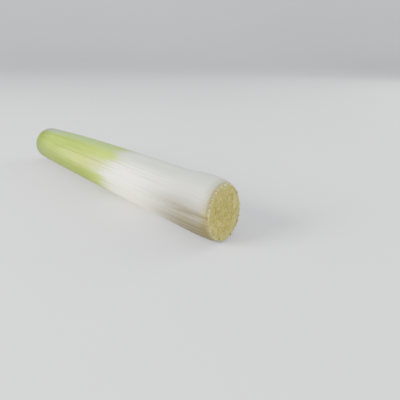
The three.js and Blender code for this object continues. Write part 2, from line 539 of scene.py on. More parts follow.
class Shader:
    """The nodes of one material."""

    def __init__(self, name: str) -> None:
        """Starts an empty material.

        Args:
            name: Name of the material.
        """
        self.material = bpy.data.materials.new(name)
        self.material.use_nodes = True
        self.nodes = self.material.node_tree.nodes
        self.links = self.material.node_tree.links
        self.nodes.clear()

    def node(self, kind: str, settings: dict[str, Any], sockets: dict[int | str, Input]) -> bpy.types.Node:
        """Adds a node.

        Args:
            kind: Blender's node type.
            settings: Its properties.
            sockets: A value or a link for each input, by name or number.

        Returns:
            The node.
        """
        node = self.nodes.new(kind)
        for key, setting in settings.items():
            setattr(node, key, setting)
        for key, given in sockets.items():
            if isinstance(given, Value):
                given = given.socket
            if isinstance(given, bpy.types.NodeSocket):
                self.links.new(given, node.inputs[key])
            elif isinstance(given, tuple) and node.inputs[key].type == "RGBA":
                node.inputs[key].default_value = (*given, 1.0)
            else:
                node.inputs[key].default_value = given
        return node

    def value(self, kind: str, settings: dict[str, Any], sockets: dict[int | str, Input]) -> Value:
        """Adds a node and wraps its first output as a number."""
        return Value(self, self.node(kind, settings, sockets).outputs[0])

    def attribute(self, mark: Mark) -> bpy.types.Node:
        """Adds the node that reads a mark."""
        return self.node("ShaderNodeAttribute", {"attribute_name": mark.value}, {})

    def mark(self, mark: Mark) -> Value:
        """The number that the mesh carries under this mark."""
        return Value(self, self.attribute(mark).outputs["Fac"])

    def place(self) -> bpy.types.NodeSocket:
        """The vector that the mesh carries: cosine and sine round the shaft, and distance from the root."""
        return self.attribute(Mark.PLACE).outputs["Vector"]

    def spot(self) -> bpy.types.NodeSocket:
        """The vector from the object's origin to the point."""
        return self.node("ShaderNodeTexCoord", {}, {}).outputs["Object"]

    def parts(self, vector: bpy.types.NodeSocket) -> tuple[Value, Value, Value]:
        """The three numbers of a vector."""
        split = self.node("ShaderNodeSeparateXYZ", {}, {0: vector})
        return Value(self, split.outputs[0]), Value(self, split.outputs[1]), Value(self, split.outputs[2])

    def scaled(self, vector: bpy.types.NodeSocket, scale: Scale) -> bpy.types.NodeSocket:
        """A vector multiplied part by part."""
        return self.node("ShaderNodeVectorMath", {"operation": "MULTIPLY"}, {0: vector, 1: scale}).outputs[0]

    def noise(self, vector: bpy.types.NodeSocket, scale: float, detail: float) -> Value:
        """Cloudy noise round 0.5, by its place, its fineness and how many finer copies are added."""
        return self.value("ShaderNodeTexNoise", {}, {"Vector": vector, "Scale": scale, "Detail": detail})

    def streaks(self, round_scale: float, long_scale: float, detail: float) -> Value:
        """Noise drawn out along the shaft.

        Args:
            round_scale: Fineness round the shaft, in streaks for each radius.
            long_scale: Fineness along it, in changes for each metre.
            detail: How many finer copies are added.

        Returns:
            A number round 0.5.
        """
        vector = self.scaled(self.place(), (round_scale, round_scale, long_scale))
        return self.noise(vector, 1.0, detail)

    def mix(self, share: Input, first: Input, second: Input) -> bpy.types.NodeSocket:
        """A colour between two colours, first where share is 0."""
        sockets = {0: share, MIX_FIRST: first, MIX_SECOND: second}
        return self.node("ShaderNodeMix", {"data_type": "RGBA"}, sockets).outputs[MIX_RESULT]

    def bump(self, height: Value, distance: float, strength: float) -> bpy.types.NodeSocket:
        """A normal tilted by a height from 0 to 1, where 1 stands for a distance in metres."""
        sockets = {"Height": height, "Distance": distance, "Strength": strength}
        return self.node("ShaderNodeBump", {}, sockets).outputs[0]

    def finish(self, sockets: dict[int | str, Input]) -> bpy.types.Material:
        """Ends the material with a Principled shader.

        Args:
            sockets: The shader's inputs.

        Returns:
            The material.
        """
        surface = self.node("ShaderNodeBsdfPrincipled", {}, sockets)
        self.node("ShaderNodeOutputMaterial", {}, {"Surface": surface.outputs[0]})
        return self.material


@dataclass(frozen=True)
class Coat:
    """A coat of colour, and where it lies.

    It comes in between two distances from the root cut, and between two heights round the shaft, which run
    from -1 at the underside to 1 at the top. How much of it lies there is gain times the streaks that it is
    laid with, plus share.
    """

    shade: Colour
    share: float = 0.0
    gain: float = 0.0
    along: Span | None = None
    side: Span | None = None


@dataclass(frozen=True)
class Fleck:
    """A colour that comes in where a noise rises."""

    shade: Colour
    span: Span
    share: float

    def lay(self, shader: Shader, under: Input, noise: Value) -> bpy.types.NodeSocket:
        """Lays the colour over the one under it."""
        return shader.mix(noise.rise(*self.span) * self.share, under, self.shade)


class Painter:
    """Lays coats on the material of a mesh that carries its places on the shaft."""

    def __init__(self, shader: Shader) -> None:
        """Reads the places: the way to the far side, the height and the distance from the root cut."""
        self.shader = shader
        self.across, self.top, self.along = shader.parts(shader.place())

    def cover(self, coat: Coat, streaks: Value | None = None, along: Value | None = None) -> Input:
        """How much of a coat lies at each point.

        Args:
            coat: The coat.
            streaks: What the coat's gain is taken of.
            along: The distance from the root cut, where it isn't the plain one.

        Returns:
            Its share.
        """
        cover = coat.share if streaks is None else streaks * coat.gain + coat.share
        if coat.along is not None:
            cover = (self.along if along is None else along).rise(*coat.along) * cover
        if coat.side is not None:
            cover = self.top.rise(*coat.side) * cover
        return cover

    def lay(
        self, under: Input, coat: Coat, streaks: Value | None = None, along: Value | None = None
    ) -> bpy.types.NodeSocket:
        """Lays a coat over the colour under it, as far as it covers that."""
        return self.shader.mix(self.cover(coat, streaks, along), under, coat.shade)


@dataclass(frozen=True)
class Grain:
    """What the skin's lines are drawn with: noises from the broadest to the finest, and its veins."""

    broad: Value
    streak: Value
    fine: Value
    hair: Value
    vein: Value


@dataclass(frozen=True)
class SkinFinish:
    """The outer skin: cool white at the root end, then yellow green, with fine lines along it."""

    # Noises, as streaks for each radius, changes for each metre and detail
    broad_noise: Scale = (3.0, 9.0, 2.0)
    streak_noise: Scale = (14.0, 12.0, 3.0)
    fine_noise: Scale = (42.0, 24.0, 2.0)
    hair_noise: Scale = (95.0, 40.0, 1.0)

    # Where the green starts, later and in paler tones round one side of the leek
    green_span: Span = (85 * MM, 113 * MM)
    streak_ragged: float = 30 * MM
    broad_ragged: float = 15 * MM
    vein_ragged: float = 9 * MM
    low_side: Span = (0.6, 0.1)
    low_lag: float = 6 * MM
    pale_angle: float = math.radians(159)
    pale_width: float = math.radians(26)
    pale_along: Span = (215 * MM, 170 * MM)
    pale_lag: float = 5 * MM

    # The white part
    white: Colour = colour(248, 248, 226)
    cream: Coat = Coat(colour(244, 238, 194), share=0.8, side=(0.35, -0.15))
    root_white: Coat = Coat(colour(206, 205, 194), share=1.0, along=(75 * MM, 20 * MM))
    white_lines: Coat = Coat(colour(188, 191, 176), gain=1.0, along=(4 * MM, 45 * MM))
    white_vein_share: float = 0.4
    white_fine_span: Span = (0.45, 0.7)
    white_fine_share: float = 0.5
    # The top is painted bluish grey: partly the skin's waxy bloom, partly painted shade and a painted sky
    # reflection
    white_bloom_and_sky_sheen: Coat = Coat(colour(176, 184, 173), share=0.5, gain=0.6, side=(0.62, 1.0))

    # The green part: pale at first, then lime, with painted shade underneath and towards the far cut
    pale_green: Colour = colour(168, 196, 12)
    pale_band: Colour = colour(178, 192, 42)
    lime: Colour = colour(132, 162, 0)
    lime_span: Span = (102 * MM, 215 * MM)
    lime_angle: float = math.radians(124)
    lime_width: float = math.radians(38)
    lime_along: Span = (108 * MM, 150 * MM)
    lime_share: float = 0.3
    lime_streaks: float = 0.7
    pale_unlimed: float = 0.5
    # Painted shade: the underside is painted a deeper green, most of all towards the far cut
    under: Coat = Coat(colour(106, 122, 0), share=0.55, gain=0.9, side=(0.42, -0.32))
    far_underside_shade: Coat = Coat(under.shade, share=0.6, along=(185 * MM, 240 * MM), side=(0.7, 0.0))
    underside_shade_weak: float = 0.35
    # Towards the far cut the green is painted deeper, partly the leaf's own deeper green and partly painted
    # shade; the last rim is painted shade
    deeper_end_and_shade: Coat = Coat(colour(84, 104, 24), gain=0.9)
    deeper_end_and_shade_span: Span = (216 * MM, 247 * MM)
    painted_end_shade: Coat = Coat(deeper_end_and_shade.shade, share=0.4, along=(235 * MM, 251 * MM))
    milky: Coat = Coat(white, gain=0.2, along=(150 * MM, 105 * MM))
    # Painted light: the back, which gets less light, is painted paler, with fainter lines
    painted_back_light_green: Colour = colour(164, 188, 92)
    painted_back_light_deep: Colour = colour(122, 150, 66)
    back_span: Span = (0.05, 0.5)
    back_share: float = 0.75
    back_gain: float = 0.3
    back_end_share: float = 0.6
    back_lime_share: float = 0.3
    green_lines: Coat = Coat(colour(98, 126, 6), gain=1.0)
    green_vein_share: float = 0.3
    green_hair_span: Span = (0.48, 0.7)
    green_hair_share: float = 0.4
    lines_lost_behind: float = 0.55
    # Painted highlights: light streaks over the upper front
    painted_glints: Coat = Coat(colour(206, 220, 96), gain=0.35, side=(-0.3, 0.2))
    painted_glint_span: Span = (0.52, 0.72)
    # Painted sheen: light lime flecks on the front
    painted_sheen: Coat = Coat(colour(176, 200, 12), gain=0.3)
    painted_sheen_span: Span = (0.55, 0.72)
    # The top of the green part is painted bluish grey, bluer towards the far cut: partly waxy bloom, partly
    # painted shade and a painted sky reflection
    bloom_and_sky_green: Colour = colour(132, 164, 84)
    sky_sheen_blue: Colour = colour(128, 152, 122)
    sky_sheen_blue_along: Span = (190 * MM, 235 * MM)
    bloom_and_sky_sheen: Coat = Coat(bloom_and_sky_green, share=0.45, gain=0.7, side=(0.86, 1.0))

    # Stains of the soil with painted shade on the lower side, and the rim at the root cut with a painted
    # shadow ring
    stain_and_shade: Coat = Coat(
        colour(112, 105, 80), share=0.65, gain=0.5, along=(78 * MM, 14 * MM), side=(0.98, 0.12)
    )
    # Soil brown low down at the root end, partly painted shade; the lower side of the rim takes the same
    # brown
    soil_and_shade: Coat = Coat(colour(80, 71, 36), share=0.35, gain=0.9, along=(60 * MM, 4 * MM), side=(0.12, -0.45))
    rim: Coat = Coat(colour(150, 140, 84), share=0.5, gain=0.45, along=(7 * MM, 1.2 * MM))
    rim_ragged: float = 5 * MM
    rim_side: Span = (0.6, 0.0)
    rim_low: Coat = Coat(soil_and_shade.shade, share=0.8, side=(0.3, -0.25))
    # Painted shadow: a dark ring on the skin just by the root cut, between the stubs
    painted_rim_shadow: Coat = Coat(colour(132, 122, 84), share=0.7, along=(2.2 * MM, 0.4 * MM))

    # The painted shadow in the fold and along the long line, and the cut edges
    painted_fold_shadow: Colour = colour(86, 78, 50)
    painted_line_shadow: Colour = colour(78, 98, 34)
    crease_shadow_share: float = 0.7
    root_cut: Colour = colour(184, 176, 112)
    leaf_cut: Colour = colour(206, 220, 140)
    cut_along: Span = (20 * MM, 200 * MM)

    # How it takes the light
    roughness: float = 0.36
    roughness_gain: float = 0.16
    bump_fine: float = 0.6
    bump_height: float = 0.16 * MM
    bump_strength: float = 0.45
    specular: float = 0.16
    flesh_weight: float = 0.08
    flesh_tint: Colour = (0.9, 1.0, 0.5)
    flesh_reach: float = 1.2 * MM

    @staticmethod
    def towards(paint: Painter, angle: float, width: float) -> Value:
        """How near a point is to the line at an angle round the axis: 1 on it, 0 from width on."""
        facing = paint.across * math.cos(angle) + paint.top * math.sin(angle)
        return facing.rise(math.cos(width), 1.0)

    def frayed(self, paint: Painter, grain: Grain) -> Value:
        """Distance from the root cut, made ragged by the skin's lines and less on the lower side.

        Args:
            paint: The places on the shaft.
            grain: The skin's lines.

        Returns:
            The distance at which the colours are looked up.
        """
        ragged = grain.streak.sway() * self.streak_ragged + grain.broad.sway() * self.broad_ragged
        ragged = ragged + grain.vein.sway() * self.vein_ragged
        return paint.along + ragged - paint.top.rise(*self.low_side) * self.low_lag

    def whites(self, paint: Painter, grain: Grain) -> bpy.types.NodeSocket:
        """The colours of the white part.

        Args:
            paint: The places on the shaft.
            grain: The skin's lines.

        Returns:
            The colour.
        """
        lines = grain.fine.rise(*self.white_fine_span) * self.white_fine_share
        lines = grain.vein * self.white_vein_share + lines
        shade = paint.lay(self.white, self.cream)
        shade = paint.lay(shade, self.root_white)
        shade = paint.lay(shade, self.white_lines, lines)
        return paint.lay(shade, self.white_bloom_and_sky_sheen, grain.broad)

    def greens(self, paint: Painter, grain: Grain, start: Value, pale: Value) -> bpy.types.NodeSocket:
        """The colours of the green part.

        Args:
            paint: The places on the shaft.
            grain: The skin's lines.
            start: The ragged distance from the root cut.
            pale: How near each point is to the pale side.

        Returns:
            The colour.
        """
        shader = paint.shader
        greener = paint.along.rise(*self.lime_along)
        in_lime = self.towards(paint, self.lime_angle, self.lime_width) * greener * self.lime_share
        limed = (start + grain.fine.sway() * self.streak_ragged).rise(*self.lime_span)
        limed = limed * (1.0 - pale * self.pale_unlimed) + in_lime + grain.streak.sway() * self.lime_streaks
        limed = limed.rise(*WHOLE)
        shade = shader.mix(limed, shader.mix(pale, self.pale_green, self.pale_band), self.lime)

        # Painted shade on the underside
        under = paint.cover(self.under, grain.streak) + paint.cover(self.far_underside_shade)
        under = under.rise(*WHOLE) * (greener * (1.0 - self.underside_shade_weak) + self.underside_shade_weak)
        shade = shader.mix(under, shade, self.under.shade)
        # A deeper green towards the far cut, partly painted shade
        ended = (paint.along + grain.streak.sway() * self.streak_ragged).rise(*self.deeper_end_and_shade_span)
        shade = paint.lay(shade, self.deeper_end_and_shade, ended)
        shade = paint.lay(shade, self.milky, pale)

        # Painted light: the back is painted paler to make up for its weaker light
        behind = paint.across.rise(*self.back_span) * (grain.fine * self.back_gain + self.back_share)
        deepened = ended * self.back_end_share + limed * self.back_lime_share
        shade = shader.mix(behind, shade, shader.mix(deepened, self.painted_back_light_green, self.painted_back_light_deep))
        lines = grain.hair.rise(*self.green_hair_span) * self.green_hair_share
        lines = grain.vein * self.green_vein_share + lines
        shade = paint.lay(shade, self.green_lines, lines * (1.0 - behind * self.lines_lost_behind))
        in_front = 1.0 - behind
        # Painted highlight streaks, on the front only
        shade = paint.lay(shade, self.painted_glints, grain.streak.rise(*self.painted_glint_span) * in_front)
        # Painted sheen, on the front only
        shade = paint.lay(shade, self.painted_sheen, grain.fine.rise(*self.painted_sheen_span) * in_front)
        # Waxy bloom with painted shade and painted sky reflection on the top
        bloom_and_sky_sheen = shader.mix(paint.along.rise(*self.sky_sheen_blue_along), self.bloom_and_sky_green, self.sky_sheen_blue)
        shade = shader.mix(paint.cover(self.bloom_and_sky_sheen, grain.broad), shade, bloom_and_sky_sheen)
        # Painted shade on the last rim before the far cut
        return paint.lay(shade, self.painted_end_shade)

    def stained_and_shaded(self, paint: Painter, grain: Grain, shade: Input) -> bpy.types.NodeSocket:
        """Adds the stains near the root, with painted shade on the lower side, the tan rim and the painted
        shadow ring at the root cut.

        Args:
            paint: The places on the shaft.
            grain: The skin's lines.
            shade: The clean colour.

        Returns:
            The stained and shaded colour.
        """
        # Stains near the root, darkened as painted shade on the lower side
        broken = paint.along + grain.broad.sway() * self.streak_ragged
        shade = paint.lay(shade, self.stain_and_shade, grain.streak, broken)
        # Soil brown low down, partly painted shade
        shade = paint.lay(shade, self.soil_and_shade, grain.streak)
        ragged = paint.along + grain.streak.sway() * self.rim_ragged
        rim = paint.cover(self.rim, paint.top.rise(*self.rim_side), ragged)
        shade = paint.shader.mix(rim, shade, paint.lay(self.rim.shade, self.rim_low))
        # Painted shadow ring by the root cut
        return paint.lay(shade, self.painted_rim_shadow)

    def build(self) -> bpy.types.Material:
        """Makes the finish.

        Returns:
            Its material.
        """
        shader = Shader("leek_skin_finish")
        paint = Painter(shader)
        noises = (self.broad_noise, self.streak_noise, self.fine_noise, self.hair_noise)
        grain = Grain(*(shader.streaks(*noise) for noise in noises), shader.mark(Mark.VEIN))
        start = self.frayed(paint, grain)
        pale = self.towards(paint, self.pale_angle, self.pale_width) * paint.along.rise(*self.pale_along)
        green = (start - pale * self.pale_lag).rise(*self.green_span)
        shade = shader.mix(green, self.whites(paint, grain), self.greens(paint, grain, start, pale))
        shade = self.stained_and_shaded(paint, grain, shade)
        # Painted shadow in the fold and along the long line
        crease_shadow = shader.mix(green, self.painted_fold_shadow, self.painted_line_shadow)
        shade = shader.mix(shader.mark(Mark.CREASE) * self.crease_shadow_share, shade, crease_shadow)
        cut = shader.mix(paint.along.rise(*self.cut_along), self.root_cut, self.leaf_cut)
        shade = shader.mix(shader.mark(Mark.CUT), shade, cut)
        height = grain.fine * self.bump_fine + grain.hair * (1.0 - self.bump_fine)
        return shader.finish({
            "Base Color": shade,
            "Roughness": grain.fine * self.roughness_gain + self.roughness,
            "Normal": shader.bump(height, self.bump_height, self.bump_strength),
            "Specular IOR Level": self.specular,
            "Subsurface Weight": self.flesh_weight,
            "Subsurface Radius": self.flesh_tint,
            "Subsurface Scale": self.flesh_reach,
        })


@dataclass(frozen=True)
class LayerFinish:
    """One of the leaves inside the skin, greener outside and yellower towards the heart."""

    name: str
    depth: float

    # Colours of the flank and of the cut, at the outside of the leek and at its heart
    outer_green: Colour = colour(158, 184, 66)
    heart_yellow: Colour = colour(214, 206, 74)
    outer_cut: Colour = colour(206, 220, 132)
    heart_cut: Colour = colour(228, 222, 110)
    bundle_green: Colour = colour(126, 156, 52)

    # The flank, which is white towards the root
    streak_noise: Scale = (26.0, 30.0, 3.0)
    streaks: Fleck = Fleck(bundle_green, (0.4, 0.7), 0.4)
    foot_white: Coat = Coat(colour(232, 234, 222), share=1.0, along=(170 * MM, 90 * MM))

    # The cut, greener at its edges, with speckles and a row of bundles, by how far inside the leaf they lie
    outer_edge: Span = (0.3, 0.0)
    inner_edge: Span = (0.7, 1.0)
    edge_share: float = 0.6
    speckle_noise: Cloud = (55.0, 3.0)
    speckles: Fleck = Fleck(bundle_green, (0.5, 0.72), 0.3)
    bundle_outside: Span = (0.2, 0.45)
    bundle_inside: Span = (0.85, 0.6)
    bundle_span: Span = (0.6, 0.95)
    bundle_share: float = 0.6

    # How it takes the light
    roughness: float = 0.34
    roughness_gain: float = 0.2
    bump_height: float = 0.12 * MM
    bump_strength: float = 0.4
    flesh_weight: float = 0.15
    flesh_tint: Colour = (0.9, 1.0, 0.5)
    flesh_reach: float = 1.5 * MM
    moisture: float = 0.15
    moisture_roughness: float = 0.25

    def build(self) -> bpy.types.Material:
        """Makes the finish.

        Returns:
            Its material.
        """
        shader = Shader(self.name)
        paint = Painter(shader)
        streak = shader.streaks(*self.streak_noise)
        speckle = shader.noise(shader.place(), *self.speckle_noise)
        cut = shader.mark(Mark.CUT)
        wall = shader.mark(Mark.WALL)

        flank = self.streaks.lay(shader, blend(self.depth, self.outer_green, self.heart_yellow), streak)
        flank = paint.lay(flank, self.foot_white)
        edge = wall.rise(*self.outer_edge) + wall.rise(*self.inner_edge)
        face = shader.mix(edge * self.edge_share, blend(self.depth, self.outer_cut, self.heart_cut), flank)
        face = self.speckles.lay(shader, face, speckle)
        inside = wall.rise(*self.bundle_outside) * wall.rise(*self.bundle_inside)
        bundle = shader.mark(Mark.VEIN).rise(*self.bundle_span) * inside
        face = shader.mix(bundle * self.bundle_share, face, self.bundle_green)
        return shader.finish({
            "Base Color": shader.mix(cut, flank, face),
            "Roughness": streak * self.roughness_gain + self.roughness,
            "Normal": shader.bump(streak + speckle * cut, self.bump_height, self.bump_strength),
            "Subsurface Weight": self.flesh_weight,
            "Subsurface Radius": self.flesh_tint,
            "Subsurface Scale": self.flesh_reach,
            "Coat Weight": self.moisture,
            "Coat Roughness": self.moisture_roughness,
        })


@dataclass(frozen=True)
class RootFinish:
    """The cut root plate: mottled tan and olive, with paler root stubs."""

    # Noises, as fineness and detail
    grain_noise: Cloud = (520.0, 4.0)
    speck_noise: Cloud = (1500.0, 2.0)
    patch_noise: Cloud = (150.0, 2.0)
    mottle_noise: Cloud = (300.0, 1.0)

    # The flesh, its root stubs with their cores and the painted shade round their feet, and the flecks on all
    # of it
    tan: Colour = colour(152, 141, 46)
    stub: Colour = colour(156, 147, 58)
    stub_share: float = 0.45
    core: Colour = colour(112, 101, 32)
    core_and_foot_shade_share: float = 0.45
    grained: Fleck = Fleck(colour(120, 112, 28), (0.42, 0.6), 1.0)
    specks: Fleck = Fleck(colour(184, 175, 88), (0.5, 0.65), 0.6)
    amber: Fleck = Fleck(colour(148, 120, 36), (0.5, 0.75), 0.45)
    ring: Fleck = Fleck(colour(160, 153, 78), (0.6, 0.95), 0.6)
    ring_sway: float = 0.5
    light_mottle: Fleck = Fleck(specks.shade, (0.5, 0.7), 0.4)
    dark_mottle: Fleck = Fleck(grained.shade, (0.5, 0.3), 0.35)

    # The stubs along the rim are whiter, most of all on the upper side
    fringe: Colour = colour(212, 206, 158)
    fringe_span: Span = (0.915, 0.955)
    fringe_sway: float = 0.06
    fringe_side: Span = (-0.2, 0.4)
    fringe_low: float = 0.3
    fringe_grain: Span = (0.42, 0.58)
    fringe_share: float = 0.42
    fringe_gain: float = 0.5

    # How it takes the light
    roughness: float = 0.72
    roughness_gain: float = 0.2
    bump_speck: float = 0.5
    bump_height: float = 0.2 * MM
    bump_strength: float = 0.5
    flesh_weight: float = 0.05
    flesh_reach: float = 1.0 * MM

    def build(self) -> bpy.types.Material:
        """Makes the finish.

        Returns:
            Its material.
        """
        shader = Shader("root_plate_finish")
        spot = shader.spot()
        noises = (self.grain_noise, self.speck_noise, self.patch_noise, self.mottle_noise)
        grain, speck, patch, mottle = (shader.noise(spot, *noise) for noise in noises)
        peg = shader.mark(Mark.WALL)
        share = shader.mark(Mark.SHARE)

        shade = self.grained.lay(shader, self.tan, grain)
        shade = self.specks.lay(shader, shade, speck)
        shade = self.amber.lay(shader, shade, patch)
        shade = shader.mix(peg * self.stub_share, shade, self.stub)
        # The stubs' cores, and painted shade in a ring round each stub's foot
        shade = shader.mix(shader.mark(Mark.CREASE) * self.core_and_foot_shade_share, shade, self.core)
        shade = self.ring.lay(shader, shade, share + patch.sway() * self.ring_sway)
        shade = self.light_mottle.lay(shader, shade, mottle)
        shade = self.dark_mottle.lay(shader, shade, mottle)
        edge = (share + grain.sway() * self.fringe_sway).rise(*self.fringe_span)
        upper = Painter(shader).top.rise(*self.fringe_side) * (1.0 - self.fringe_low) + self.fringe_low
        white = grain.rise(*self.fringe_grain) * self.fringe_gain + self.fringe_share
        shade = shader.mix(edge * peg * upper * white, shade, self.fringe)
        return shader.finish({
            "Base Color": shade,
            "Roughness": grain * self.roughness_gain + self.roughness,
            "Normal": shader.bump(grain + speck * self.bump_speck, self.bump_height, self.bump_strength),
            "Subsurface Weight": self.flesh_weight,
            "Subsurface Scale": self.flesh_reach,
        })


@dataclass(frozen=True)
class FloorFinish:
    """A plain pale floor, very slightly uneven in tone."""

    pale: Colour = colour(212, 213, 215)
    paler: Colour = colour(218, 219, 221)
    tone_noise: Cloud = (3.0, 2.0)
    roughness: float = 0.8

    def build(self) -> bpy.types.Material:
        """Makes the finish.

        Returns:
            Its material.
        """
        shader = Shader("floor_finish")
        shade = shader.mix(shader.noise(shader.spot(), *self.tone_noise), self.pale, self.paler)
        return shader.finish({"Base Color": shade, "Roughness": self.roughness})


def dress(piece: bpy.types.Object, finish: bpy.types.Material, node: str) -> None:
    """Gives a piece its finish and its place in the frame.

    Args:
        piece: The piece.
        finish: Its material.
        node: The solid that it stands for.
    """
    piece.data.materials.append(finish)
    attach(piece, "root")
    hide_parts(node)
    log.info("%s stands for %s, %d faces", piece.name, node, len(piece.data.polygons))


@dataclass
class SkinSheath:
    """The outermost sheath, with its ribs, its wrinkles at the root and its one fold."""

    # The ribs, which fade towards the root, and the veins between them
    ribs: int = 42
    rib_depth: float = 0.2 * MM
    rib_wander: Ripple = Ripple(3, (1, 4), 160 * MM)
    rib_wander_turn: float = 0.25
    rib_strength: Ripple = Ripple(5, (3, 14), 120 * MM)
    rib_middle: float = 0.65
    rib_sway: float = 0.35
    rib_least: float = 0.15
    rib_at_root: float = 0.25
    rib_fade: Span = (4 * MM, 60 * MM)
    rib_mark: float = 0.6
    veins_per_rib: int = 3
    vein_depth: float = 0.05 * MM
    vein_turn: float = 1.0

    # Dents all over, and wrinkles at the root cut
    dents: Ripple = Ripple(8, (2, 5), 210 * MM)
    dent_depth: float = 0.2 * MM
    wrinkles: Ripple = Ripple(13, (26, 54), 60 * MM)
    wrinkle_depth: float = 0.22 * MM
    wrinkle_reach: float = 9 * MM

    # The fold near the root, and the long line in the green part
    fold_angle: float = math.radians(175)
    fold_width: float = math.radians(6.5)
    fold_drift: float = math.radians(5)
    fold_reach: float = 38 * MM
    fold_full: float = 0.3
    fold_depth: float = 0.9 * MM
    fold_mark: float = 0.8
    line_angle: float = math.radians(148)
    line_width: float = math.radians(2)
    line_start: float = 104 * MM
    line_end: float = 214 * MM
    line_fade: float = 20 * MM

    # The frayed rim at the root cut
    rim_waves: Ripple = Ripple(21, (18, 60))
    rim_fray: float = 0.35 * MM
    rim_reach: float = 1.2 * MM

    # The mesh
    points_round: int = 756
    root_rings: int = 34
    shaft_rings: int = 56
    root_stretch: float = 45 * MM
    inner_rings: int = 12
    edge_round: float = 0.18 * MM

    def distances(self) -> Array:
        """Spaces the rings of the outside, closest together near the root.

        Returns:
            Their distances from the root cut.
        """
        near = np.linspace(self.edge_round, self.root_stretch, self.root_rings)
        far = np.linspace(self.root_stretch, FORM.length - self.edge_round, self.shaft_rings + 1)
        return np.concatenate([near, far[1:]])

    def creases(self, distance: Array, angle: Array) -> tuple[Array, Array]:
        """The fold near the root and the long line in the green part.

        Args:
            distance: Distances from the root cut.
            angle: Angles round the axis.

        Returns:
            How deep the skin is sunk there, and how dark its painted shadow is, from 0 to 1.
        """
        drift = self.fold_drift * distance / self.fold_reach
        fold = smooth_step(self.fold_width, 0.0, turn_between(angle - drift, self.fold_angle))
        fold = fold * smooth_step(self.fold_reach, self.fold_reach * self.fold_full, distance)
        line = smooth_step(self.line_width, 0.0, turn_between(angle, self.line_angle))
        line = line * smooth_step(self.line_start, self.line_start + self.line_fade, distance)
        line = line * smooth_step(self.line_end, self.line_end - self.line_fade, distance)
        return fold * self.fold_depth + line * self.rib_depth, np.maximum(fold * self.fold_mark, line)

    def relief(self, distance: Array, angle: Array) -> tuple[Array, Array]:
        """The ribs, veins, dents and wrinkles of the outside.

        Args:
            distance: Distances from the root cut.
            angle: Angles round the axis.

        Returns:
            How deep each point is sunk, never less than 0, and how low it lies between its veins, 0 to 1.
        """
        ribbed_turn = 2.0 * math.pi - 2.0 * FORM.rest_half_angle
        phase = (angle + math.pi / 2 - FORM.rest_half_angle) / ribbed_turn
        turn = 2.0 * math.pi * self.ribs * phase + self.rib_wander_turn * self.rib_wander.at(angle, distance)
        strength = self.rib_middle + self.rib_sway * self.rib_strength.at(angle, distance)
        fade = self.rib_at_root + (1.0 - self.rib_at_root) * smooth_step(*self.rib_fade, distance)
        strength = np.clip(strength, self.rib_least, 1.0) * fade
        rib_low = trough(turn)
        vein_low = trough(self.veins_per_rib * turn + self.vein_turn)
        sunk = self.rib_depth * strength * rib_low + self.vein_depth * vein_low
        sunk = sunk + self.dent_depth * self.dents.height_at(angle, distance)
        near_root = np.exp(-distance / self.wrinkle_reach)
        sunk = sunk + self.wrinkle_depth * near_root * self.wrinkles.height_at(angle, distance)
        return sunk, strength * (self.rib_mark * rib_low + (1.0 - self.rib_mark) * vein_low)

    def rings(self) -> tuple[Array, Array]:
        """The rings of the outside, round the top edge, down the inside and round the root edge.

        Returns:
            Their distances from the root cut, and their shares of the radius.
        """
        inner_share = FORM.layers()[0][1]
        lip = self.edge_round / FORM.shank_radius
        outside = self.distances()
        inside = np.linspace(FORM.length - self.edge_round, self.edge_round, self.inner_rings)
        distance = np.concatenate([[0.0], outside, [FORM.length, FORM.length], inside, [0.0]])
        top_edge = [1.0 - lip, inner_share + lip]
        inner = np.full(len(inside), inner_share)
        share = np.concatenate([[1.0 - lip], np.ones(len(outside)), top_edge, inner, [inner_share + lip]])
        return distance, share

    def build(self) -> None:
        """Makes the sheath and dresses it."""
        distance, share = self.rings()
        grid = Grid.of(distance, share, circle(self.points_round))
        sunk, crease_shadow = self.creases(grid.distance, grid.angle)
        relief, low = self.relief(grid.distance, grid.angle)
        is_outside = grid.share >= share[0]
        grid.relief = np.where(is_outside, relief + sunk, 0.0)
        grid.vein = np.where(is_outside, low, 0.0)
        grid.crease = np.where(is_outside, crease_shadow, 0.0)
        grid.wall = (1.0 - grid.share) / (1.0 - share.min())
        grid.cut = ((grid.distance <= 0.0) | (grid.distance >= FORM.length)).astype(float)
        fray = self.rim_fray * self.rim_waves.height_round(grid.angle)
        grid.distance = grid.distance + fray * smooth_step(self.rim_reach, 0.0, grid.distance)
        piece = MeshMaker.from_grid("skin_sheath", grid)
        dress(piece, SkinFinish().build(), "sheath_1")


